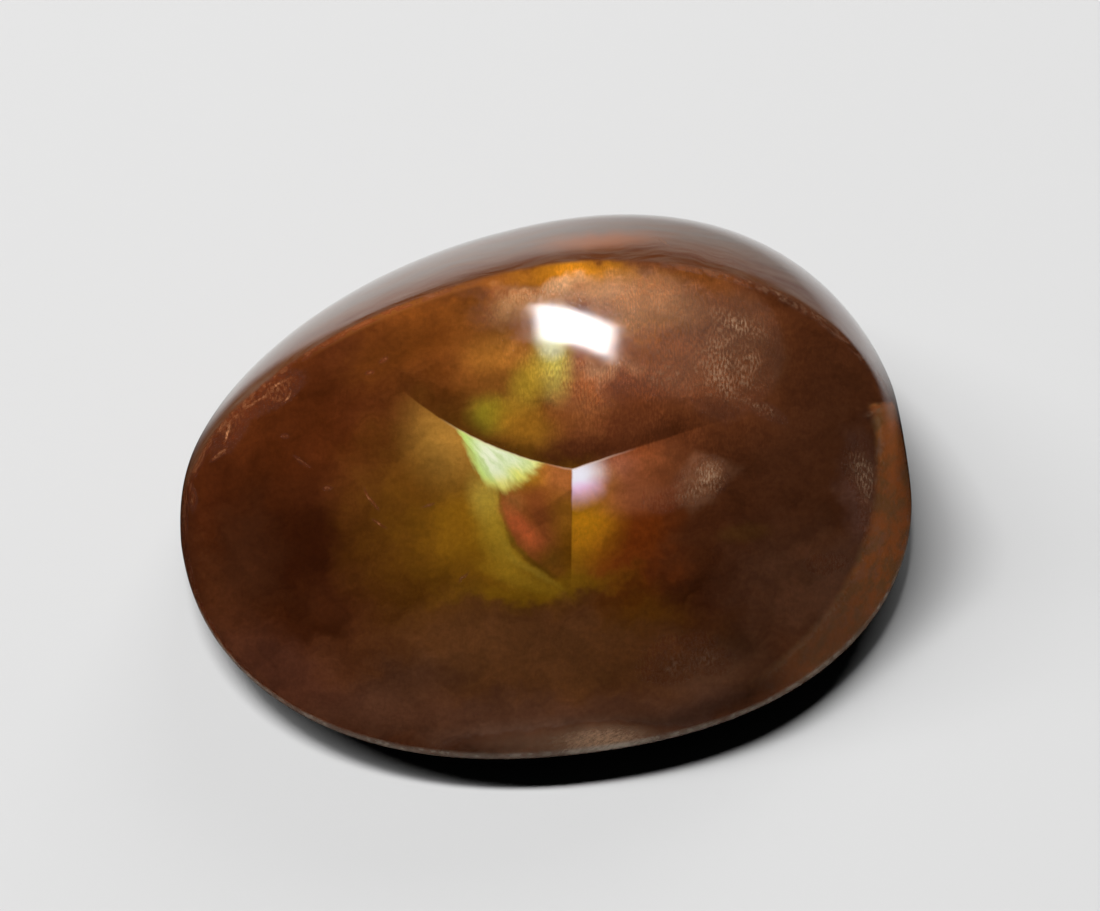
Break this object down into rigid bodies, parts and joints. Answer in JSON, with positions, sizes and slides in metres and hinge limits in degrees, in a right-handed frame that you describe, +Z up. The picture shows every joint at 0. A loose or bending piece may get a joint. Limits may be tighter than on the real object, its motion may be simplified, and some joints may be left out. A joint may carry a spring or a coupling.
{
  "type": "fire agate cabochon",
  "caption": "Polished fire agate cabochon, egg-shaped, with a domed iridescent face, a crest behind it, a steeper back slope and a flat ground base.",
  "frame": {"origin": "on the base plane, under the centre of the stone's bounding box", "axes": "+X along the stone towards its broad end, +Y away from the domed face, +Z up from the flat base"},
  "size_m": [0.022, 0.0184, 0.0101],
  "materials": {
    "agate": "polished clear brown chalcedony over iridescent layers, with fine polishing scratches and a ground band on the rim"
  },
  "bodies": {
    "root": {"fire_agate_cabochon": "agate"}
  },
  "joints": []
}
